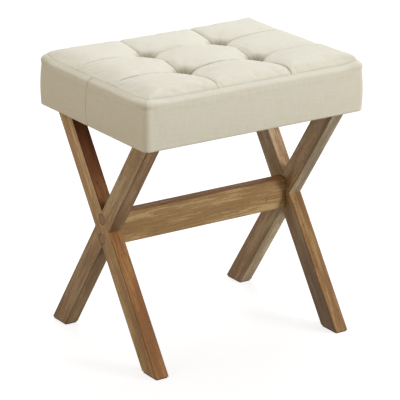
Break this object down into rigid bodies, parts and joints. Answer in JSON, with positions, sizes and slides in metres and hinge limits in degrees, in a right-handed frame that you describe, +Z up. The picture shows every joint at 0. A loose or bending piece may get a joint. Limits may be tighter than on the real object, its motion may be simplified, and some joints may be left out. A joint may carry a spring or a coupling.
{
  "type": "stool",
  "caption": "Upholstered stool with a thick tufted rectangular cushion on two crossed wooden leg frames joined by a flat stretcher.",
  "frame": {"origin": "on the floor under the middle of the stool", "axes": "+Z up, X along the seat's long side and the stretcher, Y from front to back across the crossed legs"},
  "size_m": [0.439, 0.334, 0.4902],
  "materials": {
    "wood": "brushed matt stain, open grain",
    "wood_plug": "matt stain on end grain",
    "plywood": "raw sanded",
    "fabric": "fine woven, soft matt",
    "foam": "open-cell foam",
    "dust_cloth": "non-woven, matt",
    "black_steel": "black satin",
    "zinc_steel": "zinc plated",
    "felt": "pressed felt",
    "twine": "twisted polyester"
  },
  "bodies": {
    "root": {"cushion_cover": "fabric", "dust_cover": "dust_cloth", "foam_pad": "foam", "left_foot_pad_back": "felt", "left_foot_pad_front": "felt", "left_leg_back_foot": "wood", "left_leg_front_foot": "wood", "left_leg_screw_back_1": "zinc_steel", "left_leg_screw_back_2": "zinc_steel", "left_leg_screw_front_1": "zinc_steel", "left_leg_screw_front_2": "zinc_steel", "left_mounting_strap": "black_steel", "left_plug_lower": "wood_plug", "left_plug_upper": "wood_plug", "left_seat_bolt_back": "black_steel", "left_seat_bolt_front": "black_steel", "left_seat_nut_back": "zinc_steel", "left_seat_nut_front": "zinc_steel", "left_stretcher_screw_lower": "zinc_steel", "left_stretcher_screw_upper": "zinc_steel", "right_foot_pad_back": "felt", "right_foot_pad_front": "felt", "right_leg_back_foot": "wood", "right_leg_front_foot": "wood", "right_leg_screw_back_1": "zinc_steel", "right_leg_screw_back_2": "zinc_steel", "right_leg_screw_front_1": "zinc_steel", "right_leg_screw_front_2": "zinc_steel", "right_mounting_strap": "black_steel", "right_plug_lower": "wood_plug", "right_plug_upper": "wood_plug", "right_seat_bolt_back": "black_steel", "right_seat_bolt_front": "black_steel", "right_seat_nut_back": "zinc_steel", "right_seat_nut_front": "zinc_steel", "right_stretcher_screw_lower": "zinc_steel", "right_stretcher_screw_upper": "zinc_steel", "seat_board": "plywood", "stretcher": "wood", "tuft_tie_1": "twine", "tuft_tie_2": "twine", "tuft_tie_3": "twine", "tuft_tie_4": "twine"}
  },
  "joints": []
}
